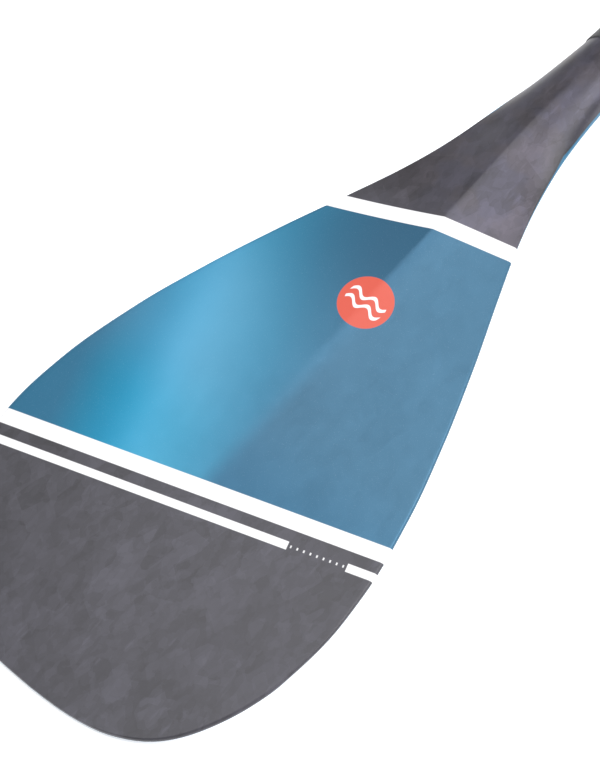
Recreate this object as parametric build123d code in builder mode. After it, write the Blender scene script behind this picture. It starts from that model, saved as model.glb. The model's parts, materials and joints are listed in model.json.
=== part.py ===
"""Three-piece adjustable stand-up paddle: forged-carbon blade, round shaft, two lever clamps, T-handle.

The paddle lies on the floor with the blade's power face up. +X runs from the blade's tip to the handle,
+Y across the blade, +Z up. The origin is on the floor, under the middle of the whole length.
"""

import os
from math import acos, atan2, cos, hypot, radians, sin

from build123d import *

os.makedirs("parts", exist_ok=True)

# ---- driving dimensions, millimetres and degrees ----
rake_angle = 10.0  # between the blade's plane and the shaft
blade_length = 375.0  # tip to elbow, the point where the blade's plane meets the shaft's axis
blade_half_width = 100.0
edge_half = 1.8  # half of the blade's thickness at its rim
ridge_start = 140.0  # from the tip; the blade is a flat plate below this
skin = 0.9  # laminate thickness over the foam
solid_rim = 7.0  # width of solid laminate round the foam
neck_end = 65.0  # distances along the shaft are measured from the elbow

tube_radius = 14.5
lower_bore = 13.3
spigot_radius = 11.5
spigot_bore = 10.0
spigot_start = 20.0
spigot_depth = 95.0  # into the lower shaft
collar_radius = 16.4
collar_length = 32.0
lower_shaft_end = 455.0
lower_plug_start = 190.0
plug_length = 18.0

mid_start = 457.3
mid_end = 1180.0
mid_bore = 13.2
ferrule_start = 355.0
ferrule_end = 517.0
running_gap = 0.1

upper_radius = mid_bore - running_gap
upper_bore = 11.9
upper_start = 700.0
handle_shoulder = 1262.0
handle_centre = 1310.0
handle_half_length = 56.0
bar_radius = 15.0
grip_thickness = 1.5
throat_length = 16.0  # the handle's neck is an ellipse here, and a wider one inside the bar
throat_half_width = 16.5
throat_half_height = 13.5
crown_half_width = 34.0
crown_half_height = 11.0
handle_plug = 42.0  # glued into the upper shaft
handle_ring_length = 6.0

clamp_length = 30.0
clamp_radius = 17.5
clamp_overhang = 2.0  # past the end of the tube
slit_half = 1.25
ear_thickness = 4.0
ear_reach = 27.5
pivot_side = 22.0
pivot_radius = 4.0
saddle_thickness = 1.0
washer_thickness = 0.8
washer_radius = 4.5
eye_radius = 7.4
lever_inner = 18.2
lever_outer = 21.7
lever_arc = (38, 132)  # where its curve starts, seen along the shaft, and how far it goes round
lever_lip = 2.3
lever_gap_half = 5.8
screw_radius = 2.0
screw_hole = 2.2
screw_head_radius = 3.5
screw_head_height = 3.0
socket_radius = 1.7
socket_depth = 1.8

# ---- where the paddle lies: on the blade's tip and on the handle ----
handle_radius = bar_radius + grip_thickness
rise = blade_length * sin(radians(rake_angle))
run = blade_length * cos(radians(rake_angle)) + handle_centre
shaft_slope = acos((handle_radius - edge_half) / hypot(rise, run)) - atan2(run, rise)
blade_slope = radians(rake_angle) - shaft_slope

along_blade = Vector(cos(blade_slope), 0, sin(blade_slope))
blade_normal = Vector(-sin(blade_slope), 0, cos(blade_slope))
along_shaft = Vector(cos(shaft_slope), 0, -sin(shaft_slope))
shaft_normal = Vector(sin(shaft_slope), 0, cos(shaft_slope))
across = Vector(0, 1, 0)

tip_reach = blade_length * cos(blade_slope) + edge_half * sin(blade_slope)
handle_reach = handle_centre * cos(shaft_slope) + handle_radius
elbow = Vector(
    (tip_reach - handle_reach) / 2,
    0,
    blade_length * sin(blade_slope) + edge_half * cos(blade_slope),
)

# each section of the raised blade and neck: distance from the elbow, half width, crest height,
# depth of the back, and how round it is, from 0 for the creased blade to 1 for the round neck
sections = [
    (-235, 97.3, 1.9, 1.9, 0.0),
    (-195, 88.7, 3.2, 1.9, 0.0),
    (-155, 76.0, 4.6, 2.2, 0.0),
    (-115, 61.2, 6.2, 3.0, 0.0),
    (-75, 45.0, 7.9, 4.6, 0.05),
    (-35, 31.0, 9.6, 7.4, 0.2),
    (0, 23.0, 11.6, 10.6, 0.45),
    (22, 19.8, 13.4, 13.0, 0.7),
    (44, 17.4, 14.9, 14.7, 0.92),
    (65, 15.7, 15.7, 15.7, 1.0),
]
blade_sections = sections[:7]
neck_sections = sections[6:]


def on_shaft(distance, side=0.0, up=0.0):
    """A point at a distance along the shaft's axis, moved sideways and up from it."""
    return elbow + along_shaft * distance + across * side + shaft_normal * up


def across_shaft(distance):
    """Plane square to the shaft: its x is +Y and its y is up."""
    return Plane(origin=on_shaft(distance), x_dir=across, z_dir=along_shaft)


def above_shaft(distance, side, up):
    """Plane parallel to the shaft and facing up: its x is along the shaft and its y is +Y."""
    return Plane(origin=on_shaft(distance, side, up), x_dir=along_shaft, z_dir=shaft_normal)


def beside_shaft(distance):
    """Plane through the shaft's axis that faces -Y: its x is along the shaft and its y is up."""
    return Plane(origin=on_shaft(distance), x_dir=along_shaft, z_dir=-across)


def section_plane(distance):
    """Plane square to the blade's and neck's bent centre line."""
    bend_half = 28.0
    share = min(max((distance + bend_half) / (2 * bend_half), 0.0), 1.0)
    direction = along_blade * (1 - share) + along_shaft * share
    line = along_blade if distance < 0 else along_shaft
    return Plane(origin=elbow + line * distance, x_dir=across, z_dir=direction)


def flank(side, face, half_width, edge, height, roundness, crease):
    """One flank of a section, from the rim to the middle: side and face are +1 or -1."""
    rise_over_run = (height - edge) / half_width
    reach = 0.5 * (1 - roundness) + 0.707 * roundness
    share = 0.44 * (1 - roundness) + 0.69 * roundness + 0.22 * (1 - crease) * (1 - roundness)
    rim = (side * half_width, face * edge)
    middle = (0.0, face * height)
    between = (side * half_width * reach, face * (edge + (height - edge) * share))
    rim_slope = (
        -side * (1.001 - roundness),
        face * ((1 - roundness) * (0.7 + 0.8 * (1 - crease)) * rise_over_run + roundness),
    )
    middle_slope = (-side, face * (1 - roundness) * crease * 1.3 * rise_over_run)
    Spline(rim, between, middle, tangents=[rim_slope, middle_slope])


def raised_body(rim_inset, inset, rows):
    """Loft of the creased upper blade or of the neck, shrunk by the insets."""
    with BuildPart() as body:
        for distance, half_width, crest, depth, roundness in rows:
            width = half_width - rim_inset
            edge = edge_half - inset
            with BuildSketch(section_plane(distance)):
                with BuildLine():
                    for side in (1, -1):
                        flank(side, 1, width, edge, crest - inset, roundness, 1.0)
                        flank(side, -1, width, edge, depth - inset, roundness, 0.0)
                        Line((side * width, edge), (side * width, -edge))
                make_face()
        loft()
    return body.part


def flat_body(rim_inset, inset):
    """Flat plate of the lower blade, shrunk by the insets."""
    width_at_start = sections[0][1] - rim_inset
    start = ridge_start - blade_length
    tip = rim_inset - blade_length
    scale = 1 - rim_inset / blade_half_width
    with BuildPart() as body:
        with BuildSketch(Plane(origin=elbow, x_dir=along_blade, z_dir=blade_normal)):
            with BuildLine():
                Spline(
                    (start, width_at_start),
                    (107 - blade_length, blade_half_width * scale),
                    (59 - blade_length, 93.7 * scale),
                    (tip + 20.5 * scale, 73.0 * scale),
                    (tip + 6.8 * scale, 52.0 * scale),
                    (tip, 0),
                    (tip + 6.8 * scale, -52.0 * scale),
                    (tip + 20.5 * scale, -73.0 * scale),
                    (59 - blade_length, -93.7 * scale),
                    (107 - blade_length, -blade_half_width * scale),
                    (start, -width_at_start),
                    tangents=[(-1, 0.13), (1, 0.13)],
                )
                Line((start, -width_at_start), (start, width_at_start))
            make_face()
        extrude(amount=edge_half - inset, both=True)
    return body.part


def save(name, builder):
    """Label a finished piece and write its STEP file."""
    builder.part.label = name
    export_step(builder.part, f"parts/{name}.step")


# ---- blade ----
with BuildPart() as blade_foam_core:
    add(flat_body(solid_rim, skin))
    add(raised_body(solid_rim, skin, blade_sections))
save("blade_foam_core", blade_foam_core)

with BuildPart() as blade_shell:
    add(flat_body(0, 0))
    add(raised_body(0, 0, blade_sections))
    add(raised_body(0, 0, neck_sections))
    add(blade_foam_core.part, mode=Mode.SUBTRACT)
    with BuildSketch(across_shaft(spigot_start)):
        Circle(spigot_radius)
    extrude(amount=neck_end, mode=Mode.SUBTRACT)


def half_space(face):
    """Block on one side of the blade's mid-plane, bent with the neck: face is +1 for the front."""
    reach = 60.0
    far_blade = elbow - along_blade * (blade_length + reach)
    far_neck = on_shaft(neck_end + reach)
    with BuildPart() as block:
        with BuildSketch(Plane.XZ):
            with BuildLine():
                Polyline(
                    (far_blade.X, far_blade.Z),
                    (elbow.X, elbow.Z),
                    (far_neck.X, far_neck.Z),
                    (far_neck.X, far_neck.Z + face * reach),
                    (far_blade.X, far_blade.Z + face * 2 * reach),
                    close=True,
                )
            make_face()
        extrude(amount=blade_half_width + reach, both=True)
    return block.part


with BuildPart() as blade_front_skin:
    add(blade_shell.part)
    add(half_space(1), mode=Mode.INTERSECT)
save("blade_front_skin", blade_front_skin)

with BuildPart() as blade_back_skin:
    add(blade_shell.part)
    add(half_space(-1), mode=Mode.INTERSECT)
save("blade_back_skin", blade_back_skin)

# ---- neck joint: a stepped spigot glued into the neck and the shaft, under an outer sleeve ----
with BuildPart() as neck_spigot:
    with BuildSketch(across_shaft(spigot_start)):
        Circle(spigot_radius)
        Circle(spigot_bore, mode=Mode.SUBTRACT)
    extrude(amount=neck_end - spigot_start)
    with BuildSketch(across_shaft(neck_end)):
        Circle(lower_bore)
        Circle(spigot_bore, mode=Mode.SUBTRACT)
    extrude(amount=spigot_depth)
save("neck_spigot", neck_spigot)

with BuildPart() as neck_collar:
    with BuildSketch(across_shaft(neck_end)):
        Circle(collar_radius)
        Circle(tube_radius, mode=Mode.SUBTRACT)
    extrude(amount=collar_length)
    chamfer(neck_collar.edges().filter_by(GeomType.CIRCLE).sort_by(Axis.X)[-1:], 0.6)
save("neck_collar", neck_collar)


# ---- tubes ----
def tube(start, end, outer, inner):
    """Plain round tube along the shaft."""
    with BuildPart() as body:
        with BuildSketch(across_shaft(start)):
            Circle(outer)
            if inner > 0:
                Circle(inner, mode=Mode.SUBTRACT)
        extrude(amount=end - start)
    return body.part


def slot_cutter(end):
    """Block for the two slots, at +Y and -Y, that let a clamp squeeze a tube's open end."""
    slot_length = 26.0
    slot_width = 1.6
    with BuildPart() as block:
        with BuildSketch(beside_shaft(end)):
            Rectangle(2 * slot_length, slot_width)
        extrude(amount=2 * tube_radius, both=True)
    return block.part


with BuildPart() as lower_shaft:
    add(tube(neck_end, lower_shaft_end, tube_radius, lower_bore))
    add(slot_cutter(lower_shaft_end), mode=Mode.SUBTRACT)
save("lower_shaft", lower_shaft)

with BuildPart() as lower_shaft_plug:
    add(tube(lower_plug_start, lower_plug_start + plug_length, lower_bore, 0))
save("lower_shaft_plug", lower_shaft_plug)

ferrule_radius = lower_bore - running_gap
ferrule_bore = 11.7
ring_places = [ferrule_start + 14, ferrule_start + 24]
ring_width = 2.4
ring_depth = 0.8

with BuildPart() as mid_ferrule:
    add(tube(ferrule_start, ferrule_end, ferrule_radius, ferrule_bore))
    for place in ring_places:
        with BuildSketch(across_shaft(place)):
            Circle(ferrule_radius + 1)
            Circle(ferrule_radius - ring_depth, mode=Mode.SUBTRACT)
        extrude(amount=ring_width, mode=Mode.SUBTRACT)
save("mid_ferrule", mid_ferrule)

with BuildPart() as ferrule_seal_rings:
    for place in ring_places:
        add(tube(place, place + ring_width, ferrule_radius + 0.04, ferrule_radius - ring_depth))
save("ferrule_seal_rings", ferrule_seal_rings)

with BuildPart() as ferrule_plug:
    add(tube(ferrule_start + 2, ferrule_start + 14, ferrule_bore, 0))
save("ferrule_plug", ferrule_plug)

with BuildPart() as mid_shaft:
    add(tube(mid_start, mid_end, tube_radius, mid_bore))
    add(slot_cutter(mid_end), mode=Mode.SUBTRACT)
save("mid_shaft", mid_shaft)

with BuildPart() as upper_shaft:
    add(tube(upper_start, handle_shoulder, upper_radius, upper_bore))
save("upper_shaft", upper_shaft)

with BuildPart() as upper_shaft_plug:
    add(tube(upper_start, upper_start + plug_length, upper_bore, 0))
save("upper_shaft_plug", upper_shaft_plug)


# ---- lever clamps: a split collar, squeezed by a screw that a cam lever pulls ----
def lever_clamp(name, tube_end):
    """All the pieces of one clamp, which stands a little past the end of its tube."""
    middle = tube_end + clamp_overhang - clamp_length / 2
    ear_top = slit_half + ear_thickness
    pivot_up = ear_top + saddle_thickness + eye_radius + running_gap
    head_top = -ear_top - washer_thickness

    with BuildPart() as collar:
        with BuildSketch(across_shaft(middle)):
            Circle(clamp_radius)
            with Locations((ear_reach / 2, 0)):
                Rectangle(ear_reach, 2 * ear_top)
            Circle(tube_radius, mode=Mode.SUBTRACT)
            with Locations((ear_reach, 0)):
                Rectangle(2 * (ear_reach - 10), 2 * slit_half, mode=Mode.SUBTRACT)
        extrude(amount=clamp_length / 2, both=True)
        with BuildSketch(above_shaft(middle, pivot_side, 0)):
            Circle(screw_hole)
        extrude(amount=2 * ear_top, both=True, mode=Mode.SUBTRACT)
    save(f"{name}_clamp_collar", collar)

    with BuildPart() as saddle:
        with BuildSketch(above_shaft(middle, pivot_side, ear_top)):
            RectangleRounded(clamp_length - 2, 10, 2)
            Circle(screw_hole, mode=Mode.SUBTRACT)
        extrude(amount=saddle_thickness)
    save(f"{name}_clamp_saddle", saddle)

    with BuildPart() as washer:
        with BuildSketch(above_shaft(middle, pivot_side, head_top)):
            Circle(washer_radius)
            Circle(screw_hole, mode=Mode.SUBTRACT)
        extrude(amount=washer_thickness)
    save(f"{name}_clamp_washer", washer)

    with BuildPart() as barrel:
        with BuildSketch(across_shaft(middle)):
            with Locations((pivot_side, pivot_up)):
                Circle(pivot_radius)
        extrude(amount=clamp_length / 2 - 1, both=True)
        chamfer(barrel.edges().filter_by(GeomType.CIRCLE), 0.4)
        with BuildSketch(above_shaft(middle, pivot_side, pivot_up)):
            Circle(screw_radius)
        extrude(amount=2 * pivot_radius, both=True, mode=Mode.SUBTRACT)
    save(f"{name}_clamp_barrel", barrel)

    with BuildPart() as screw:
        with BuildSketch(above_shaft(middle, pivot_side, head_top)):
            Circle(screw_radius)
        extrude(amount=pivot_up + 3.0 - head_top)
        with BuildSketch(above_shaft(middle, pivot_side, head_top)):
            Circle(screw_head_radius)
        extrude(amount=-screw_head_height)
        with BuildSketch(above_shaft(middle, pivot_side, head_top - screw_head_height)):
            RegularPolygon(radius=socket_radius, side_count=6)
        extrude(amount=socket_depth, mode=Mode.SUBTRACT)
    save(f"{name}_clamp_screw", screw)

    with BuildPart() as lever:
        with BuildSketch(across_shaft(middle)):
            with BuildLine():
                outer = CenterArc((0, 0), lever_outer, *lever_arc)
                inner = CenterArc((0, 0), lever_inner, *lever_arc)
                Line(outer @ 0, inner @ 0)
                Line(outer @ 1, inner @ 1)
            make_face()
            with Locations((pivot_side, pivot_up)):
                Circle(eye_radius)
            with Locations((outer @ 1 + inner @ 1) * 0.5):
                Circle(lever_lip)
        extrude(amount=clamp_length / 2, both=True)
        with BuildSketch(across_shaft(middle)):
            with Locations((pivot_side, pivot_up)):
                Circle(eye_radius + 2)
        extrude(amount=lever_gap_half, both=True, mode=Mode.SUBTRACT)
        with BuildSketch(across_shaft(middle)):
            with Locations((pivot_side, pivot_up)):
                Circle(pivot_radius + 0.05)
        extrude(amount=clamp_length, both=True, mode=Mode.SUBTRACT)
    save(f"{name}_clamp_lever", lever)


lever_clamp("lower", lower_shaft_end)
lever_clamp("upper", mid_end)

# ---- T-handle ----
bar_axis = Axis(on_shaft(handle_centre), across)
bar_plane = Plane(origin=on_shaft(handle_centre), x_dir=across, z_dir=shaft_normal)


def bar(outer):
    """Palm bar, turned about its own axis across the paddle: outer is added to its radius."""
    with BuildPart() as body:
        with BuildSketch(bar_plane):
            with BuildLine():
                end = handle_half_length + outer
                rounding = 7.0
                shoulder = end - rounding
                shoulder_radius = 12.5 + outer
                low = shoulder_radius - rounding
                slant = rounding * sin(radians(45))
                crown = Spline(
                    (shoulder, shoulder_radius),
                    (shoulder / 2, bar_radius - 0.8 + outer),
                    (0, bar_radius + outer),
                    (-shoulder / 2, bar_radius - 0.8 + outer),
                    (-shoulder, shoulder_radius),
                )
                for side, corner in ((1, crown @ 0), (-1, crown @ 1)):
                    ThreePointArc(
                        corner,
                        (side * (shoulder + slant), low + slant),
                        (side * end, low),
                    )
                    Line((side * end, low), (side * end, 0))
                Line((-end, 0), (end, 0))
            make_face()
        revolve(axis=bar_axis)
    return body.part


with BuildPart() as handle_body:
    with BuildSketch(across_shaft(handle_shoulder)):
        Circle(tube_radius)
    with BuildSketch(across_shaft(handle_shoulder + throat_length)):
        Ellipse(throat_half_width, throat_half_height)
    with BuildSketch(across_shaft(handle_centre)):
        Ellipse(crown_half_width, crown_half_height)
    loft()
    add(bar(0))
    with BuildSketch(across_shaft(handle_shoulder)):
        Circle(upper_bore)
    extrude(amount=-handle_plug)
save("handle_body", handle_body)

with BuildPart() as handle_grip:
    add(bar(grip_thickness))
    add(bar(0), mode=Mode.SUBTRACT)
    with BuildSketch(across_shaft(handle_centre - 1)):
        Rectangle(3 * handle_half_length, 4 * bar_radius)
    extrude(amount=2 * bar_radius, mode=Mode.INTERSECT)
save("handle_grip", handle_grip)

with BuildPart() as handle_ring:
    add(tube(handle_shoulder - handle_ring_length, handle_shoulder, tube_radius, upper_radius))
save("handle_ring", handle_ring)
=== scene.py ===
import json
from math import cos, pi, radians, sin, tan

import bpy
import numpy as np
from mathutils import Matrix, Vector


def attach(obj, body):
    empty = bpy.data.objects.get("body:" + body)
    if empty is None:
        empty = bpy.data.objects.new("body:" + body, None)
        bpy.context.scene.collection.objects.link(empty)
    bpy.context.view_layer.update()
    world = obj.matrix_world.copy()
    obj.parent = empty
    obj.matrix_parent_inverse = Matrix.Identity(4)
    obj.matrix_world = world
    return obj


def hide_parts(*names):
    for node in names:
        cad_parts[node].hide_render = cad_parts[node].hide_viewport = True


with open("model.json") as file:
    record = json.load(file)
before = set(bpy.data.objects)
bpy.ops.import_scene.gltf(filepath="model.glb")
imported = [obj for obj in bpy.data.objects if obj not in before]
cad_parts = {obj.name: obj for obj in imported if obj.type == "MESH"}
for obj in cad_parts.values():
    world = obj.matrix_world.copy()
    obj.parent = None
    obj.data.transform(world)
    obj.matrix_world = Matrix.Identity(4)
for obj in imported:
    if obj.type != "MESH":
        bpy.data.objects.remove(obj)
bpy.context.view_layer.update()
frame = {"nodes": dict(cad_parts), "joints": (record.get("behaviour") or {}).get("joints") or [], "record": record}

joints = {joint["name"]: joint for joint in frame["joints"]}
print("stage: frame loaded")

# where things are, worked out from the frame (metres)
shaftDir = Vector(joints["mid_pull_out"]["axis"]).normalized()
acrossDir = Vector((0, 1, 0))
shaftUp = Vector((-shaftDir.z, 0, shaftDir.x))
bladeRest = next(m for m in frame["record"]["mounts"] if m["name"] == "blade_rest")
bladeUp = -Vector(bladeRest["axis"]).normalized()
bladeDir = Vector((bladeUp.z, 0, -bladeUp.x))

bladeSettings = {
    "restFromTip": 0.090,  # the rest mount's distance from the tip
    "edgeHalf": 0.0018,
    "tipToElbow": 0.375,
    "neckLength": 0.065,
    "bendHalf": 0.013,
    "rows": 230,
    "columns": 56,  # on each side of the ridge
    "skin": 0.0009,
    "creasePower": 1.22,  # 1 is a straight flank, higher is hollower towards the ridge
    "rowBend": 0.25,  # how far the rows crowd towards the tip, and how fast that fades
    "rowPower": 1.4,
    "tipShare": 0.06,  # share of the length in which the rows crowd further, and by how much
    "tipPower": 0.9,
    "merge": 0.00001,
}
restPlace = Vector(bladeRest["pos_m"])
tip = restPlace + bladeUp * bladeSettings["edgeHalf"] - bladeDir * bladeSettings["restFromTip"]
elbow = tip + bladeDir * bladeSettings["tipToElbow"]


def onShaft(distance, side=0.0, up=0.0):
    return elbow + shaftDir * distance + acrossDir * side + shaftUp * up


# camera
cameraSettings = {
    "place": (-1.1612, -0.4288, 1.1054),
    "lookAt": (-0.6535, -0.0022, 0.030),
    "roll": 1.96,  # degrees
    "lens": 122.0,
    "sensor": 36.0,
}


def makeCamera():
    data = bpy.data.cameras.new("camera")
    data.lens = cameraSettings["lens"]
    data.sensor_width = cameraSettings["sensor"]
    data.clip_start = 0.01
    camera = bpy.data.objects.new("camera", data)
    bpy.context.scene.collection.objects.link(camera)
    camera.location = cameraSettings["place"]
    away = Vector(cameraSettings["place"]) - Vector(cameraSettings["lookAt"])
    turn = away.to_track_quat("Z", "Y").to_matrix() @ Matrix.Rotation(radians(cameraSettings["roll"]), 3, "Z")
    camera.rotation_euler = turn.to_euler()
    bpy.context.scene.camera = camera


makeCamera()
print("stage: camera")


# shader helpers
# screen colour, 0 to 255, as the linear colour that a shader takes
def colour(red, green, blue):
    parts = [part / 255 for part in (red, green, blue)]
    return tuple(p / 12.92 if p <= 0.04045 else ((p + 0.055) / 1.055) ** 2.4 for p in parts) + (1.0,)


def node(tree, kind, **values):
    made = tree.nodes.new(kind)
    for name, value in values.items():
        setattr(made, name, value)
    return made


def feed(tree, socket, value):
    if isinstance(value, bpy.types.NodeSocket):
        tree.links.new(value, socket)
    else:
        socket.default_value = value


def calc(tree, operation, first, second=0.0, third=0.0):
    made = node(tree, "ShaderNodeMath", operation=operation)
    for socket, value in zip(made.inputs, (first, second, third)):
        feed(tree, socket, value)
    return made.outputs[0]


# distance of a point along a direction, counted from a start point
def along(tree, point, direction, start):
    moved = node(tree, "ShaderNodeVectorMath", operation="SUBTRACT")
    feed(tree, moved.inputs[0], point)
    feed(tree, moved.inputs[1], tuple(start))
    dot = node(tree, "ShaderNodeVectorMath", operation="DOT_PRODUCT")
    feed(tree, dot.inputs[0], moved.outputs[0])
    feed(tree, dot.inputs[1], tuple(direction))
    return dot.outputs["Value"]


def fromAxis(tree, first, second):
    squares = calc(tree, "MULTIPLY_ADD", first, first, calc(tree, "MULTIPLY", second, second))
    return calc(tree, "SQRT", squares)


# mask that is 1 where a value lies between two limits, with a soft edge
def between(tree, value, low, high, soft=0.0002):
    rising = fade(tree, value, low - soft, low + soft)
    falling = fade(tree, value, high + soft, high - soft)
    return calc(tree, "MULTIPLY", rising, falling)


def fade(tree, value, start, end, low=0.0, high=1.0):
    made = node(tree, "ShaderNodeMapRange", interpolation_type="SMOOTHSTEP")
    for socket, part in zip(made.inputs, (value, start, end, low, high)):
        feed(tree, socket, part)
    return made.outputs[0]


def share(tree, value, start, end):
    made = node(tree, "ShaderNodeMapRange")
    for socket, part in zip(made.inputs, (value, start, end, 0.0, 1.0)):
        feed(tree, socket, part)
    return made.outputs[0]


def mixColour(tree, mask, first, second, blend="MIX"):
    made = node(tree, "ShaderNodeMix", data_type="RGBA", blend_type=blend)
    feed(tree, made.inputs["Factor"], mask)
    feed(tree, made.inputs[6], first)
    feed(tree, made.inputs[7], second)
    return made.outputs[2]


def mixValue(tree, mask, first, second):
    made = node(tree, "ShaderNodeMix", data_type="FLOAT")
    feed(tree, made.inputs[0], mask)
    feed(tree, made.inputs[2], first)
    feed(tree, made.inputs[3], second)
    return made.outputs[0]


def ramp(tree, value, stops):
    made = node(tree, "ShaderNodeValToRGB")
    made.color_ramp.interpolation = "B_SPLINE"
    while len(made.color_ramp.elements) < len(stops):
        made.color_ramp.elements.new(0.5)
    for element, (place, tint) in zip(made.color_ramp.elements, stops):
        element.position = place
        element.color = tint
    feed(tree, made.inputs[0], value)
    return made.outputs["Color"]


def times(tree, first, second, *more):
    product = calc(tree, "MULTIPLY", first, second)
    for factor in more:
        product = calc(tree, "MULTIPLY", product, factor)
    return product


def tinted(tree, base, tint):
    return mixColour(tree, 1.0, base, tint, "MULTIPLY")


def noise(tree, place, scale, detail=2.0):
    made = node(tree, "ShaderNodeTexNoise")
    feed(tree, made.inputs["Vector"], place)
    feed(tree, made.inputs["Scale"], scale)
    feed(tree, made.inputs["Detail"], detail)
    return made.outputs[0]


# cells in which each has its own random colour, on a turned and squeezed copy of the place
def cells(tree, place, turn, squeeze, scale, distance):
    mapping = node(tree, "ShaderNodeMapping")
    feed(tree, mapping.inputs["Vector"], place)
    feed(tree, mapping.inputs["Rotation"], (0.0, 0.0, turn))
    feed(tree, mapping.inputs["Scale"], (1.0, squeeze, 1.0))
    made = node(tree, "ShaderNodeTexVoronoi", distance=distance)
    feed(tree, made.inputs["Vector"], mapping.outputs[0])
    feed(tree, made.inputs["Scale"], scale)
    random = node(tree, "ShaderNodeSeparateColor")
    feed(tree, random.inputs[0], made.outputs["Color"])
    return made.outputs["Distance"], random


# empty node group with named sockets: returns the tree, its input node and its output node
def newGroup(name, inputs, outputs):
    tree = bpy.data.node_groups.new(name, "ShaderNodeTree")
    for label, kind, value in inputs:
        socket = tree.interface.new_socket(name=label, in_out="INPUT", socket_type=kind)
        if value is not None:
            socket.default_value = value
    for label, kind in outputs:
        tree.interface.new_socket(name=label, in_out="OUTPUT", socket_type=kind)
    return tree, node(tree, "NodeGroupInput"), node(tree, "NodeGroupOutput")


def useGroup(tree, group, **values):
    made = node(tree, "ShaderNodeGroup")
    made.node_tree = group
    for name, value in values.items():
        feed(tree, made.inputs[name], value)
    return made


chopSettings = {
    "dark": colour(51, 50, 55),
    "light": colour(73, 72, 80),
    "layers": [  # turn, squeeze, scale and weight of each layer of flakes
        (0.4, 1.4, 60.0, 0.30),
        (1.3, 1.8, 85.0, 0.26),
        (2.1, 1.5, 130.0, 0.24),
        (2.9, 1.6, 210.0, 0.20),
    ],
    "contrast": 1.6,
    "drift": (18.0, 0.5),  # scale and strength of the slow change over the laminate
    "range": (0.05, 0.85),
    "sliver": (0.9, 6.0, 90.0),  # turn, squeeze and scale of the rare bright slivers
    "sliverChance": (0.93, 0.95),
    "sliverEdge": (0.5, 0.2),
    "sliverStrength": 0.35,
}


# forged carbon: flakes of chopped tow, each a little lighter or darker than its neighbours
def makeChoppedCarbon():
    tree, start, end = newGroup(
        "choppedCarbon",
        [
            ("Vector", "NodeSocketVector", None),
            ("Dark", "NodeSocketColor", chopSettings["dark"]),
            ("Light", "NodeSocketColor", chopSettings["light"]),
        ],
        [("Color", "NodeSocketColor"), ("Flake", "NodeSocketFloat")],
    )
    place = start.outputs["Vector"]
    total = 0.0
    for turn, squeeze, scale, weight in chopSettings["layers"]:
        random = cells(tree, place, turn, squeeze, scale, "CHEBYCHEV")[1]
        part = times(tree, calc(tree, "POWER", random.outputs[0], chopSettings["contrast"]), weight)
        total = calc(tree, "ADD", total, part)
    driftScale, driftStrength = chopSettings["drift"]
    drift = calc(tree, "SUBTRACT", noise(tree, place, driftScale), 0.5)
    flake = share(tree, calc(tree, "MULTIPLY_ADD", drift, driftStrength, total), *chopSettings["range"])
    edge, random = cells(tree, place, *chopSettings["sliver"], "EUCLIDEAN")
    rare = fade(tree, random.outputs[1], *chopSettings["sliverChance"])
    sliver = times(tree, rare, fade(tree, edge, *chopSettings["sliverEdge"]), chopSettings["sliverStrength"])
    flake = calc(tree, "ADD", flake, sliver)
    feed(tree, end.inputs["Color"], mixColour(tree, flake, start.outputs["Dark"], start.outputs["Light"]))
    feed(tree, end.inputs["Flake"], flake)
    return tree


# fine moulding grain and faint handling marks: a height and a roughness that vary
def makeGrain():
    tree, start, end = newGroup(
        "fineGrain",
        [
            ("Vector", "NodeSocketVector", None),
            ("Scale", "NodeSocketFloat", 1500.0),
            ("Roughness", "NodeSocketFloat", 0.4),
            ("Spread", "NodeSocketFloat", 0.1),
        ],
        [("Height", "NodeSocketFloat"), ("Roughness", "NodeSocketFloat")],
    )
    grain = noise(tree, start.outputs["Vector"], start.outputs["Scale"], 3.0)
    marks = noise(tree, start.outputs["Vector"], 45.0, 6.0)
    feed(tree, end.inputs["Height"], grain)
    swing = times(tree, calc(tree, "SUBTRACT", marks, 0.5), start.outputs["Spread"])
    feed(tree, end.inputs["Roughness"], calc(tree, "ADD", start.outputs["Roughness"], swing))
    return tree


choppedCarbon = makeChoppedCarbon()
fineGrain = makeGrain()


def newMaterial(name):
    material = bpy.data.materials.new(name)
    material.use_nodes = True
    tree = material.node_tree
    tree.nodes.clear()
    shader = node(tree, "ShaderNodeBsdfPrincipled")
    output = node(tree, "ShaderNodeOutputMaterial")
    tree.links.new(shader.outputs[0], output.inputs[0])
    place = node(tree, "ShaderNodeTexCoord").outputs["Object"]
    return material, tree, shader, place


def addBump(tree, shader, height, strength, distance):
    bump = node(tree, "ShaderNodeBump")
    feed(tree, bump.inputs["Height"], height)
    feed(tree, bump.inputs["Strength"], strength)
    feed(tree, bump.inputs["Distance"], distance)
    tree.links.new(bump.outputs[0], shader.inputs["Normal"])


# plain moulded, rubber or metal finish with its own grain and faint marks
def moulded(name, tint, roughness=0.45, grain=1500.0, depth=0.00006, metallic=0.0, coat=0.0):
    material, tree, shader, place = newMaterial(name)
    group = useGroup(tree, fineGrain, Vector=place, Scale=grain, Roughness=roughness, Spread=0.16)
    spots = fade(tree, noise(tree, place, 60.0, 4.0), 0.35, 0.65)
    darker = tuple(part * 0.82 for part in tint[:3]) + (1.0,)
    spotted = mixColour(tree, spots, darker, tint)
    feed(tree, shader.inputs["Base Color"], spotted)
    feed(tree, shader.inputs["Roughness"], group.outputs["Roughness"])
    shader.inputs["Metallic"].default_value = metallic
    shader.inputs["Coat Weight"].default_value = coat
    addBump(tree, shader, group.outputs["Height"], 0.5, depth)
    return material


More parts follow.
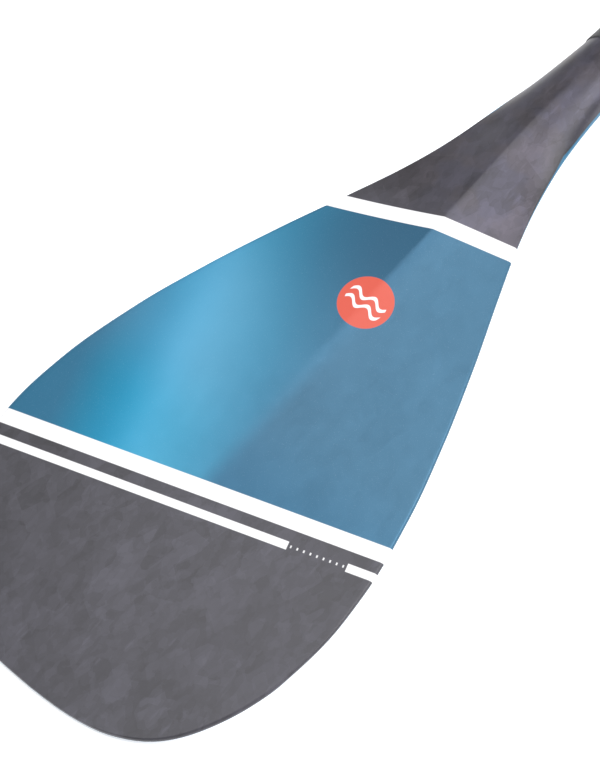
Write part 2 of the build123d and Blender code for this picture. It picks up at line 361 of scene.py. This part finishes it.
printSettings = {
    "slant": 18.3,  # degrees, of every band
    "wideBand": (0.1198, 0.1285),  # metres from the tip, as all that follow
    "pinstripe": (0.1089, 0.1134),
    "pinstripeGap": (0.0545, 0.0832),
    "gapMarks": 9,
    "markHalf": 0.0007,
    "upperBand": (0.2998, 0.3085),
    "upperSlope": (0.40, 0.31),  # of the upper band, on the +Y and the -Y side
    "panelEnds": (0.1268, 0.3022),
    "white": colour(236, 236, 238),
}
streakSettings = {
    "crossing": 0.133,  # where the streak's place is measured
    "lean": 0.345,
    "reach": (-0.090, 0.036),
    "stops": [  # not chosen by hand: a table worked out by another program, thinned and rounded
        (0.00, colour(40, 95, 125)),
        (0.12, colour(18, 110, 142)),
        (0.24, colour(14, 124, 160)),
        (0.32, colour(36, 136, 172)),
        (0.40, colour(60, 148, 184)),
        (0.50, colour(60, 143, 176)),
        (0.65, colour(56, 130, 162)),
        (0.80, colour(57, 117, 147)),
        (1.00, colour(62, 109, 138)),
    ],
    "paintedSheen": (0.032, 0.014, 0.014, 1.0),
    "paintedSheenStart": (0.135, 0.18),  # from the tip, as all fades here but the next and the last
    "paintedSheenLean": (0.012, -0.035),  # along the streak's own lean
    "paintedSheenEnd": (0.265, 0.21),
    "dimStart": (0.20, 0.275),
    "flatFade": (0.12, 0.19),
    "ridge": (-0.004, 0.010),  # across the blade
    "upperDim": colour(200, 214, 220),
    "flatLow": colour(46, 96, 126),
    "flatHigh": colour(57, 99, 125),
    "sparkle": colour(190, 215, 230),
}
neckSettings = {
    "lowerPaintedLight": (1.25, 1.25, 1.27, 1.0),  # painted light: how much lighter the laminate is painted towards -Y
    "flankPaintedSheen": (1.85, 1.84, 1.92, 1.0),  # and the painted sheen on the neck's -Y flank
    "cool": colour(222, 219, 230),
    "warm": colour(228, 219, 219),
    "lightSide": (-0.08, 0.02),  # across the blade
    "flankSide": (-0.002, 0.005),
    "flankStart": (0.25, 0.30),  # from the tip
    "flankEnd": (0.43, 0.355),
    "flankHeight": (-0.0005, 0.0035),
    "toneStart": (0.28, 0.33),
    "seamStart": (0.300, 0.330),
    "partingStart": (0.320, 0.345),
    "seamRise": (0.325, 0.44, 0.0024, 0.0005),  # from, to, how far it climbs, and its height at first
    "parting": colour(36, 36, 40),
    "backBlue": colour(36, 100, 132),
}
badgeSettings = {
    "fromTip": 0.2487,
    "radius": 0.0142,
    "edge": 0.0002,
    "waveLength": 0.0105,
    "waveHeight": 0.0017,
    "waves": [(0.0014, 0.0034), (-0.0040, -0.0020)],  # from and to, above the badge's middle
    "waveReach": 0.0110,
    "coral": colour(208, 84, 66),
}


def bladeCoordinates(tree, place):
    return along(tree, place, bladeDir, tip), along(tree, place, -acrossDir, tip)


# the laminate's colour, with painted light: painted lighter towards -Y and with a painted sheen on the neck's -Y
# flank, and warm and cool patches there
def laminateColour(tree, place, fromTip, side, up, carbon):
    # painted light: the laminate painted lighter towards -Y
    lighter = tinted(tree, carbon, neckSettings["lowerPaintedLight"])
    laminate = mixColour(tree, fade(tree, side, *neckSettings["lightSide"]), carbon, lighter)
    rolledUnder = calc(tree, "SUBTRACT", up, times(tree, share(tree, fromTip, 0.34, 0.40), 0.006))
    # painted sheen on the neck's -Y flank
    flank = times(
        tree,
        fade(tree, side, *neckSettings["flankSide"]),
        fade(tree, fromTip, *neckSettings["flankStart"]),
        fade(tree, fromTip, *neckSettings["flankEnd"], 0.5, 1.0),
        fade(tree, rolledUnder, *neckSettings["flankHeight"]),
    )
    laminate = mixColour(tree, flank, laminate, tinted(tree, laminate, neckSettings["flankPaintedSheen"]))
    warm = fade(tree, noise(tree, place, 55.0, 3.0), 0.42, 0.60)
    neckTone = mixColour(tree, warm, neckSettings["cool"], neckSettings["warm"])
    onNeck = fade(tree, fromTip, *neckSettings["toneStart"])
    return mixColour(tree, onNeck, laminate, tinted(tree, laminate, neckTone))


# the blue panel: a cyan streak that leans across the +Y flank, partly a print gradient and partly a painted
# reflection of the lamps, and an even blue beyond the ridge
def panelColour(tree, place, fromTip, side):
    pastCrossing = calc(tree, "SUBTRACT", fromTip, streakSettings["crossing"])
    lean = calc(tree, "ADD", side, times(tree, pastCrossing, streakSettings["lean"]))
    # the streak's colours: partly a print gradient, partly a painted reflection
    streak = ramp(tree, share(tree, lean, *streakSettings["reach"]), streakSettings["stops"])
    # painted sheen: a pale haze added on the streak, which with its dimming towards the neck shapes the painted
    # reflection
    paintedSheenMask = times(
        tree,
        fade(tree, fromTip, *streakSettings["paintedSheenStart"]),
        fade(tree, fromTip, *streakSettings["paintedSheenEnd"]),
        fade(tree, lean, *streakSettings["paintedSheenLean"]),
    )
    streak = mixColour(tree, paintedSheenMask, streak, streakSettings["paintedSheen"], "ADD")
    dimmed = tinted(tree, streak, streakSettings["upperDim"])
    streak = mixColour(tree, fade(tree, fromTip, *streakSettings["dimStart"]), streak, dimmed)
    height = fade(tree, fromTip, *streakSettings["flatFade"])
    flat = mixColour(tree, height, streakSettings["flatLow"], streakSettings["flatHigh"])
    panel = mixColour(tree, fade(tree, side, *streakSettings["ridge"]), streak, flat)
    sparkle = fade(tree, noise(tree, place, 2600.0), 0.62, 0.75, 0.0, 0.10)
    return mixColour(tree, sparkle, panel, streakSettings["sparkle"])


# the white bands, the pinstripe and the row of plain marks in its gap
def bandMask(tree, fromTip, side, band, upper):
    slant = radians(printSettings["slant"])
    middle = sum(printSettings["pinstripe"]) / 2
    alongStripe = calc(tree, "ADD", times(tree, side, cos(slant)), times(tree, fromTip, sin(slant)))
    gapStart, gapEnd = [
        v * cos(slant) + (middle + v * tan(slant)) * sin(slant) for v in printSettings["pinstripeGap"]
    ]
    outsideGap = calc(tree, "SUBTRACT", 1.0, between(tree, alongStripe, gapStart, gapEnd))
    stripe = times(tree, between(tree, band, *printSettings["pinstripe"]), outsideGap)
    pitch = (gapEnd - gapStart) / printSettings["gapMarks"]
    phase = calc(tree, "FRACT", calc(tree, "DIVIDE", calc(tree, "SUBTRACT", alongStripe, gapStart), pitch))
    marks = times(
        tree,
        between(tree, phase, 0.38, 0.62, 0.03),
        between(tree, band, middle - printSettings["markHalf"], middle + printSettings["markHalf"]),
        between(tree, alongStripe, gapStart + 0.4 * pitch, gapEnd - 0.4 * pitch),
        0.85,
    )
    bands = calc(tree, "MAXIMUM", between(tree, band, *printSettings["wideBand"]),
                 between(tree, upper, *printSettings["upperBand"]))
    return calc(tree, "MAXIMUM", bands, calc(tree, "MAXIMUM", stripe, marks))


# round badge on the ridge, with two plain waves: its mask and its colour
def badgePrint(tree, fromTip, side):
    forward = calc(tree, "SUBTRACT", fromTip, badgeSettings["fromTip"])
    radius = fromAxis(tree, forward, side)
    rim, edge = badgeSettings["radius"], badgeSettings["edge"]
    swing = calc(tree, "SINE", times(tree, side, 2 * pi / badgeSettings["waveLength"]))
    height = calc(tree, "SUBTRACT", forward, times(tree, swing, badgeSettings["waveHeight"]))
    first, second = [between(tree, height, *limits) for limits in badgeSettings["waves"]]
    reach = badgeSettings["waveReach"]
    waves = times(tree, calc(tree, "MAXIMUM", first, second), fade(tree, radius, reach + edge, reach - edge))
    tint = mixColour(tree, waves, badgeSettings["coral"], printSettings["white"])
    return fade(tree, radius, rim + edge, rim - edge), tint


# power face: chopped carbon, with a blue panel between white bands, a pinstripe and a badge
def makeFrontPrint():
    material, tree, shader, place = newMaterial("bladeFrontFinish")
    fromTip, side = bladeCoordinates(tree, place)
    up = calc(tree, "MAXIMUM", along(tree, place, shaftUp, elbow), along(tree, place, bladeUp, elbow))
    band = calc(tree, "SUBTRACT", fromTip, times(tree, side, tan(radians(printSettings["slant"]))))
    bentSlope = fade(tree, side, -0.0005, 0.0005, *printSettings["upperSlope"])
    upper = calc(tree, "SUBTRACT", fromTip, times(tree, side, bentSlope))

    carbon = useGroup(tree, choppedCarbon, Vector=place)
    laminate = laminateColour(tree, place, fromTip, side, up, carbon.outputs["Color"])
    panelStart, panelEnd = printSettings["panelEnds"]
    inPanel = times(tree, fade(tree, band, panelStart - 0.0003, panelStart + 0.0002),
                    fade(tree, upper, panelEnd + 0.0002, panelEnd - 0.0002))
    painted = mixColour(tree, inPanel, laminate, panelColour(tree, place, fromTip, side))
    whites = bandMask(tree, fromTip, side, band, upper)
    painted = mixColour(tree, whites, painted, printSettings["white"])
    disc, badge = badgePrint(tree, fromTip, side)
    painted = mixColour(tree, disc, painted, badge)

    # the back's blue shows above the seam along the neck
    riseStart, riseEnd, rise, firstHeight = neckSettings["seamRise"]
    climb = calc(tree, "MULTIPLY_ADD", share(tree, fromTip, riseStart, riseEnd), rise, firstHeight)
    aboveSeam = calc(tree, "SUBTRACT", up, climb)
    darkened = fade(tree, fromTip, *neckSettings["partingStart"], 0.0, 0.7)
    parting = times(tree, between(tree, aboveSeam, 0.0001, 0.0006), darkened)
    seamStart = fade(tree, fromTip, *neckSettings["seamStart"])
    seam = times(tree, fade(tree, aboveSeam, 0.0001, -0.0002), seamStart)
    painted = mixColour(tree, parting, painted, neckSettings["parting"])
    painted = mixColour(tree, seam, painted, neckSettings["backBlue"])

    feed(tree, shader.inputs["Base Color"], painted)
    unprinted = calc(tree, "SUBTRACT", 1.0, calc(tree, "MAXIMUM", whites, disc))
    feed(tree, shader.inputs["Metallic"], times(tree, inPanel, unprinted, 0.5))
    shader.inputs["Specular IOR Level"].default_value = 0.35
    group = useGroup(tree, fineGrain, Vector=place, Scale=900.0, Roughness=0.38, Spread=0.10)
    rougher = times(tree, carbon.outputs["Flake"], 0.08)
    feed(tree, shader.inputs["Roughness"], calc(tree, "ADD", group.outputs["Roughness"], rougher))
    shader.inputs["Coat Weight"].default_value = 0.12
    shader.inputs["Coat Roughness"].default_value = 0.22
    addBump(tree, shader, carbon.outputs["Flake"], 0.10, 0.0001)
    return material


backSettings = {
    "tipBlue": colour(24, 84, 122),
    "neckBlue": colour(66, 142, 182),
    "fleck": colour(160, 205, 228),
}


# back: glossy blue, with fine metal flakes under the lacquer
def makeBackPaint():
    material, tree, shader, place = newMaterial("bladeBackFinish")
    fromTip, side = bladeCoordinates(tree, place)
    deep = mixColour(tree, fade(tree, fromTip, 0.02, 0.40), backSettings["tipBlue"], backSettings["neckBlue"])
    flecks = fade(tree, noise(tree, place, 2400.0), 0.60, 0.72, 0.0, 0.22)
    deep = mixColour(tree, flecks, deep, backSettings["fleck"])
    feed(tree, shader.inputs["Base Color"], deep)
    group = useGroup(tree, fineGrain, Vector=place, Scale=500.0, Roughness=0.28, Spread=0.12)
    feed(tree, shader.inputs["Roughness"], group.outputs["Roughness"])
    shader.inputs["Metallic"].default_value = 0.45
    shader.inputs["Coat Weight"].default_value = 0.6
    shader.inputs["Coat Roughness"].default_value = 0.08
    addBump(tree, shader, group.outputs["Height"], 0.15, 0.00004)
    return material


tubeSettings = {
    "outerRadius": 0.0138,  # between the extension tube's and the other tubes' radius
    "towsRound": 46,
    "tow": 0.002,
    "dark": colour(20, 20, 23),
    "light": colour(74, 74, 80),
    "rings": [  # painted rings: where they start and end along the shaft, and their colour
        (0.1150, 0.1200, colour(236, 236, 238)),
        (0.1225, 0.1525, colour(38, 112, 150)),
        (0.1550, 0.1570, colour(236, 236, 238)),
        (1.1000, 1.1020, colour(236, 236, 238)),
        (1.1045, 1.1245, colour(38, 112, 150)),
        (1.1270, 1.1320, colour(236, 236, 238)),
    ],
    "marks": (0.800, 1.141),  # length marks on the extension tube
    "markPitch": 0.020,
    "markWidth": 0.0012,
    "markTurn": 0.35,  # how far round they go from the top, radians
    "markColour": colour(214, 214, 216),
}


# woven carbon tube: a 2 mm twill that runs round the shaft, under clear lacquer
def makeTubeCarbon():
    material, tree, shader, place = newMaterial("tubeCarbonFinish")
    lengthwise = along(tree, place, shaftDir, elbow)
    across, upward = along(tree, place, acrossDir, elbow), along(tree, place, shaftUp, elbow)
    turn = calc(tree, "ARCTAN2", across, upward)
    outerRadius = tubeSettings["outerRadius"]
    outerTube = fade(tree, fromAxis(tree, across, upward), outerRadius - 0.0001, outerRadius + 0.0001)
    roundTube = times(tree, turn, tubeSettings["towsRound"] / (2 * pi))
    step = calc(tree, "DIVIDE", lengthwise, tubeSettings["tow"])
    column = calc(tree, "FLOOR", roundTube)
    row = calc(tree, "FLOOR", step)
    twill = calc(tree, "FLOORED_MODULO", calc(tree, "ADD", column, row), 4.0)
    warpUp = calc(tree, "LESS_THAN", twill, 1.5)
    inColumn = calc(tree, "SUBTRACT", calc(tree, "FRACT", roundTube), 0.5)
    inRow = calc(tree, "SUBTRACT", calc(tree, "FRACT", step), 0.5)
    crownAcross = mixValue(tree, warpUp, calc(tree, "ABSOLUTE", inRow), calc(tree, "ABSOLUTE", inColumn))
    crown = calc(tree, "SUBTRACT", 1.0, times(tree, crownAcross, 2.0))
    lit = mixValue(tree, warpUp, 0.25, 0.75)
    # painted sheen: each tow painted lighter along its crown and darker at its edges, where it dips under its
    # neighbours
    tone = times(tree, calc(tree, "MULTIPLY_ADD", crown, 0.45, 0.55), lit)
    painted = mixColour(tree, tone, tubeSettings["dark"], tubeSettings["light"])
    for start, end, tint in tubeSettings["rings"]:
        ring = times(tree, between(tree, lengthwise, start, end), outerTube)
        painted = mixColour(tree, ring, painted, tint)
    # length marks along the top of the extension tube
    start, end = tubeSettings["marks"]
    pitch, reach = tubeSettings["markPitch"], tubeSettings["markTurn"]
    phase = calc(tree, "FRACT", calc(tree, "DIVIDE", calc(tree, "SUBTRACT", lengthwise, start), pitch))
    mark = times(
        tree,
        calc(tree, "LESS_THAN", phase, tubeSettings["markWidth"] / pitch),
        between(tree, lengthwise, start, end),
        fade(tree, calc(tree, "ABSOLUTE", turn), reach + 0.01, reach - 0.01),
        calc(tree, "SUBTRACT", 1.0, outerTube),
    )
    painted = mixColour(tree, mark, painted, tubeSettings["markColour"])
    feed(tree, shader.inputs["Base Color"], painted)
    group = useGroup(tree, fineGrain, Vector=place, Scale=700.0, Roughness=0.30, Spread=0.12)
    feed(tree, shader.inputs["Roughness"], group.outputs["Roughness"])
    shader.inputs["Coat Weight"].default_value = 0.5
    shader.inputs["Coat Roughness"].default_value = 0.10
    addBump(tree, shader, crown, 0.18, 0.00008)
    return material


materials = {
    "front_laminate": makeFrontPrint(),
    "back_laminate": makeBackPaint(),
    "carbon_tube": makeTubeCarbon(),
    "foam": moulded("foamFinish", colour(226, 220, 196), roughness=0.85, grain=900.0, depth=0.0002),
    "sleeve": moulded("sleeveFinish", colour(52, 52, 55), roughness=0.5, grain=1300.0),
    "seal": moulded("sealFinish", colour(28, 28, 29), roughness=0.6, grain=1200.0),
    "steel": moulded("steelFinish", colour(176, 176, 180), roughness=0.3, grain=2400.0, depth=0.00002,
                     metallic=1.0),
    "clamp_plastic": moulded("clampFinish", colour(38, 38, 41), roughness=0.5, grain=1400.0),
    "lever_plastic": moulded("leverFinish", colour(40, 122, 168), roughness=0.32, grain=1200.0,
                             depth=0.00003, coat=0.3),
    "handle_plastic": moulded("handleFinish", colour(42, 42, 45), roughness=0.48, grain=1500.0),
    "grip_rubber": moulded("gripFinish", colour(60, 60, 63), roughness=0.7, grain=1100.0, depth=0.00012),
    "ring": moulded("ringFinish", colour(40, 122, 168), roughness=0.3, grain=1200.0, depth=0.00003, coat=0.3),
}
for item in frame["record"]["subparts"]:
    shown = frame["nodes"][item["node"]]
    shown.data.materials.clear()
    shown.data.materials.append(materials[item["material_slot"]])
print("stage: materials")


# modelling helpers
def deselectAll():
    if bpy.context.object and bpy.context.object.mode != "OBJECT":
        bpy.ops.object.mode_set(mode="OBJECT")
    bpy.ops.object.select_all(action="DESELECT")


def choose(piece):
    deselectAll()
    piece.select_set(True)
    bpy.context.view_layer.objects.active = piece


def applyModifiers(piece):
    choose(piece)
    for modifier in list(piece.modifiers):
        bpy.ops.object.modifier_apply(modifier=modifier.name)


def finishPiece(piece, name, slot, body, replaced=(), angle=35.0):
    piece.name = name
    piece.data.name = name
    piece.data.materials.clear()
    piece.data.materials.append(materials[slot])
    choose(piece)
    bpy.ops.object.transform_apply(location=True, rotation=True, scale=True)
    bpy.ops.object.shade_smooth_by_angle(angle=radians(angle))
    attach(piece, body)
    if replaced:
        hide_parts(*replaced)


# blade. The outline isn't chosen by hand: most of its points are another program's fit, lightly rounded,
# and the crest from 150 to 340 mm follows a power law with that fit's height
bladeOutline = {  # distance from the tip: half width, mm
    0: 0, 1.5: 29.2, 6.8: 52.1, 20.2: 73.0, 37.7: 85.1, 59: 93.7, 76: 97.6, 107: 100.0, 134: 98.0, 177: 89.3,
    215: 77.6, 253: 63.7, 291: 48.3, 318: 37.7, 340: 30.6, 358: 26.2, 375: 23.0, 400: 19.4, 420: 17.3,
    440: 15.7,
}
bladeCrest = {  # height of the front above the middle plane, mm
    0: 1.8, 115: 1.8, 150: 2.4, 200: 3.9, 250: 5.9, 300: 7.7, 340: 9.4, 375: 11.6, 400: 13.5, 420: 14.9,
    440: 15.7,
}
bladeDepth = {  # depth of the back below it, mm
    0: 1.8, 180: 1.9, 220: 2.2, 260: 3.0, 300: 4.6, 340: 7.4, 375: 10.6, 400: 13.1, 420: 14.6, 440: 15.7,
}
bladeRound = {0: 0, 290: 0, 340: 0.18, 375: 0.45, 400: 0.72, 420: 0.9, 440: 1.0}  # 1 is a round tube


# smooth curve through a table's points, without overshoot. Squared keeps a round tip round
def curveThrough(table, squared=False):
    xs = np.array(list(table), float)
    ys = np.array(list(table.values()), float)
    if squared:
        ys = ys ** 2
    steps = np.diff(ys) / np.diff(xs)
    slopes = np.concatenate([[steps[0]], np.zeros(len(xs) - 2), [steps[-1]]])
    for place in range(1, len(xs) - 1):
        before, after = steps[place - 1], steps[place]
        if before * after > 0:
            slopes[place] = 2 * before * after / (before + after)

    def value(at):
        place = int(np.clip(np.searchsorted(xs, at) - 1, 0, len(xs) - 2))
        width = xs[place + 1] - xs[place]
        t = (at - xs[place]) / width
        result = (ys[place] * (1 + 2 * t) * (1 - t) ** 2 + slopes[place] * width * t * (1 - t) ** 2
                  + ys[place + 1] * t * t * (3 - 2 * t) + slopes[place + 1] * width * t * t * (t - 1))
        return max(result, 0.0) ** 0.5 if squared else result

    return value


halfWidthAt = curveThrough(bladeOutline, squared=True)
crestAt = curveThrough(bladeCrest)
depthAt = curveThrough(bladeDepth)
roundAt = curveThrough(bladeRound)


# a point of the blade's and neck's centre line, with a soft bend at the elbow, and the way it faces
def centreAt(fromTip):
    bend = bladeSettings["bendHalf"]
    past = fromTip - bladeSettings["tipToElbow"]
    if past <= -bend:
        return elbow + bladeDir * past, bladeUp
    if past >= bend:
        return elbow + shaftDir * past, shaftUp
    t = (past + bend) / (2 * bend)
    start, end = elbow - bladeDir * bend, elbow + shaftDir * bend
    point = start * (1 - t) ** 2 + elbow * 2 * t * (1 - t) + end * t ** 2
    return point, (bladeUp * (1 - t) + shaftUp * t).normalized()


# a point of one face: sideways runs from -1 to 1 across it, face is 1 for the front and -1 for the back
def bladePoint(fromTip, sideways, face):
    millimetres = fromTip * 1000
    halfWidth = halfWidthAt(millimetres)
    edge = bladeSettings["edgeHalf"] * 1000
    height = crestAt(millimetres) if face > 0 else depthAt(millimetres)
    roundness = roundAt(millimetres)
    inward = 1 - abs(sideways)
    flank = inward ** bladeSettings["creasePower"] if face > 0 else 1 - sideways * sideways
    ridged = edge + (height - edge) * flank
    side = halfWidth * ((1 - roundness) * sideways + roundness * sin(sideways * pi / 2))
    up = (1 - roundness) * ridged + roundness * height * cos(sideways * pi / 2)
    fromRim = inward * halfWidth
    rim = edge * (1 - roundness)
    if fromRim < rim:
        up -= rim - (rim ** 2 - (rim - fromRim) ** 2) ** 0.5
    centre, facing = centreAt(fromTip)
    return centre + acrossDir * (side / 1000) + facing * (face * up / 1000)


# where a row of the grid lies, from its share of the length. Rows are closer together near the tip
def rowPlace(lengthways):
    bend = bladeSettings["rowBend"]
    total = bladeSettings["tipToElbow"] + bladeSettings["neckLength"]
    crowding = bend * lengthways ** bladeSettings["rowPower"] + 1 - bend
    nearTip = min(1.0, lengthways / bladeSettings["tipShare"]) ** bladeSettings["tipPower"]
    return total * lengthways * crowding * nearTip


# one skin of the blade: a grid laid along the blade, shaped, then given its thickness
def makeBladeFace(name, face, slot, replaced):
    rows, half = bladeSettings["rows"], bladeSettings["columns"]
    deselectAll()
    bpy.ops.mesh.primitive_grid_add(x_subdivisions=rows, y_subdivisions=2 * half, size=2)
    skin = bpy.context.object
    for vertex in skin.data.vertices:
        fromTip = rowPlace((vertex.co.x + 1) / 2)
        vertex.co = bladePoint(fromTip, sin(vertex.co.y * pi / 2), face)
    choose(skin)
    bpy.ops.object.mode_set(mode="EDIT")
    bpy.ops.mesh.select_all(action="SELECT")
    bpy.ops.mesh.remove_doubles(threshold=bladeSettings["merge"])
    if face < 0:
        bpy.ops.mesh.flip_normals()
    bpy.ops.object.mode_set(mode="OBJECT")
    solid = skin.modifiers.new("thickness", "SOLIDIFY")
    solid.thickness = bladeSettings["skin"]
    solid.offset = -1
    applyModifiers(skin)
    finishPiece(skin, name, slot, "blade", replaced)
    return skin


bladeFront = makeBladeFace("bladeFront", 1, "front_laminate", ["blade_front_skin"])
bladeBack = makeBladeFace("bladeBack", -1, "back_laminate", ["blade_back_skin"])
print("stage: blade")


# rounded edges for the moulded parts
edgeSettings = {
    "merge": 0.00002,
    "flatAngle": 0.5,  # degrees: faces closer than this are joined
    "sharpAngle": 40.0,  # degrees: sharper edges than this are broken
    "segments": 3,
    "smoothAngle": 30.0,
}


# a copy of a CAD node with its sharp edges broken, which stands for the node
def roundEdges(nodeName, name, width, body):
    source = frame["nodes"][nodeName]
    slotName = next(item["material_slot"] for item in frame["record"]["subparts"] if item["node"] == nodeName)
    deselectAll()
    copy = bpy.data.objects.new(name, source.data.copy())
    bpy.context.scene.collection.objects.link(copy)
    choose(copy)
    bpy.ops.object.mode_set(mode="EDIT")
    bpy.ops.mesh.select_all(action="SELECT")
    bpy.ops.mesh.remove_doubles(threshold=edgeSettings["merge"])
    bpy.ops.mesh.dissolve_limited(angle_limit=radians(edgeSettings["flatAngle"]))
    bpy.ops.mesh.quads_convert_to_tris()
    bpy.ops.object.mode_set(mode="OBJECT")
    bevel = copy.modifiers.new("brokenEdges", "BEVEL")
    bevel.width = width
    bevel.segments = edgeSettings["segments"]
    bevel.limit_method = "ANGLE"
    bevel.angle_limit = radians(edgeSettings["sharpAngle"])
    applyModifiers(copy)
    finishPiece(copy, name, slotName, body, [nodeName], edgeSettings["smoothAngle"])
    return copy


brokenEdges = [  # CAD node, name, width of the broken edge, body
    ("lower_clamp_collar", "lowerCollar", 0.0006, "blade"),
    ("upper_clamp_collar", "upperCollar", 0.0006, "mid_section"),
    ("lower_clamp_lever", "lowerLever", 0.0007, "lower_lever"),
    ("upper_clamp_lever", "upperLever", 0.0007, "upper_lever"),
    ("neck_collar", "neckSleeve", 0.0005, "blade"),
]
for nodeName, name, width, body in brokenEdges:
    roundEdges(nodeName, name, width, body)
print("stage: rounded edges")


# ribs on the levers and the handle's grip
# place and turn of a piece drawn with x along the shaft, y across and z up
def shaftFrame(distance):
    turn = Matrix((shaftDir, acrossDir, shaftUp)).transposed().to_4x4()
    return Matrix.Translation(onShaft(distance)) @ turn


def joinAll(pieces):
    deselectAll()
    for piece in pieces:
        piece.select_set(True)
    bpy.context.view_layer.objects.active = pieces[0]
    bpy.ops.object.join()
    return bpy.context.object


leverRibSettings = {
    "clampMiddles": (0.442, 1.167),  # past the elbow
    "outerRadius": 0.0217,
    "size": (0.020, 0.0014, 0.0012),
    "angles": (112, 121, 130, 139, 148),
    "softEdge": 0.0004,
}
gripRibSettings = {
    "barDistance": 1.310,
    "radius": 0.0165,
    "taper": 0.0025,
    "half": 0.0495,
    "count": 9,
    "thickness": 0.0007,
    "sunk": 0.0002,
    "cutAt": 0.0004,  # only the half on the palm's side stays
    "segments": (72, 10),  # round the grip, and round the rib
}


# thumb ribs across the back of a clamp lever
def makeLeverRibs(name, distance, body):
    ribs = []
    for angle in leverRibSettings["angles"]:
        deselectAll()
        bpy.ops.mesh.primitive_cube_add(size=1, location=(0, 0, 0), scale=leverRibSettings["size"])
        rib = bpy.context.object
        bpy.ops.object.transform_apply(location=False, rotation=False, scale=True)
        edge = rib.modifiers.new("softEdges", "BEVEL")
        edge.width = leverRibSettings["softEdge"]
        edge.segments = 3
        applyModifiers(rib)
        swing = Matrix.Rotation(radians(angle - 90), 4, "X")
        outward = Matrix.Translation((0, 0, leverRibSettings["outerRadius"]))
        rib.matrix_world = shaftFrame(distance) @ swing @ outward
        ribs.append(rib)
    finishPiece(joinAll(ribs), name, "lever_plastic", body)


# raised ribs round the palm side of the T-handle's grip
def makeGripRibs():
    ribs = []
    count = gripRibSettings["count"]
    around, section = gripRibSettings["segments"]
    for number in range(count):
        outward = 2 * number / (count - 1) - 1
        side = gripRibSettings["half"] * outward
        radius = gripRibSettings["radius"] - gripRibSettings["taper"] * outward ** 2
        deselectAll()
        bpy.ops.mesh.primitive_torus_add(
            major_radius=radius - gripRibSettings["sunk"], minor_radius=gripRibSettings["thickness"],
            major_segments=around, minor_segments=section, location=(0, 0, 0), rotation=(pi / 2, 0, 0))
        rib = bpy.context.object
        bpy.ops.object.transform_apply(location=False, rotation=True, scale=False)
        bpy.ops.object.mode_set(mode="EDIT")
        bpy.ops.mesh.select_all(action="SELECT")
        bpy.ops.mesh.bisect(plane_co=(gripRibSettings["cutAt"], 0, 0), plane_no=(1, 0, 0),
                            clear_inner=True, use_fill=True)
        bpy.ops.object.mode_set(mode="OBJECT")
        rib.matrix_world = shaftFrame(gripRibSettings["barDistance"]) @ Matrix.Translation((0, side, 0))
        ribs.append(rib)
    finishPiece(joinAll(ribs), "gripRibs", "grip_rubber", "handle_section")


makeLeverRibs("lowerLeverRibs", leverRibSettings["clampMiddles"][0], "lower_lever")
makeLeverRibs("upperLeverRibs", leverRibSettings["clampMiddles"][1], "upper_lever")
makeGripRibs()
print("stage: ribs")


# floor and light
studioSettings = {
    "floorSize": 40,
    "floorColour": (0.95, 0.95, 0.95, 1.0),
    "floorRoughness": 0.9,
    "floorGlow": 0.55,
    "white": (1.0, 1.0, 1.0, 1.0),
    "worldStrength": 0.45,
}


def makeFloor():
    deselectAll()
    bpy.ops.mesh.primitive_plane_add(size=studioSettings["floorSize"], location=(0, 0, 0))
    floor = bpy.context.object
    floor.name = "floor"
    material, tree, shader, place = newMaterial("floorFinish")
    shader.inputs["Base Color"].default_value = studioSettings["floorColour"]
    shader.inputs["Roughness"].default_value = studioSettings["floorRoughness"]
    shader.inputs["Emission Color"].default_value = studioSettings["white"]
    shader.inputs["Emission Strength"].default_value = studioSettings["floorGlow"]
    floor.data.materials.append(material)


lightSettings = [  # name, direction towards it from the blade, distance, size, power
    ("overheadLight", (0.10, 0.05, 1.0), 2.2, 1.6, 24.0),
    ("sideLight", (0.35, -0.75, 0.75), 2.2, 1.4, 36.0),
    ("farLight", (0.2, 1.0, 0.55), 2.6, 0.8, 9.0),
]


def makeLights():
    centre = tip + bladeDir * 0.2
    for name, direction, distance, size, power in lightSettings:
        data = bpy.data.lights.new(name, "AREA")
        data.size = size
        data.energy = power
        lamp = bpy.data.objects.new(name, data)
        bpy.context.scene.collection.objects.link(lamp)
        towards = Vector(direction).normalized()
        lamp.location = centre + towards * distance
        lamp.rotation_euler = towards.to_track_quat("Z", "Y").to_euler()
    world = bpy.data.worlds.new("studio")
    world.use_nodes = True
    background = world.node_tree.nodes["Background"]
    background.inputs["Color"].default_value = studioSettings["white"]
    background.inputs["Strength"].default_value = studioSettings["worldStrength"]
    bpy.context.scene.world = world
    bpy.context.scene.view_settings.view_transform = "Standard"


makeFloor()
makeLights()
print("stage: light")
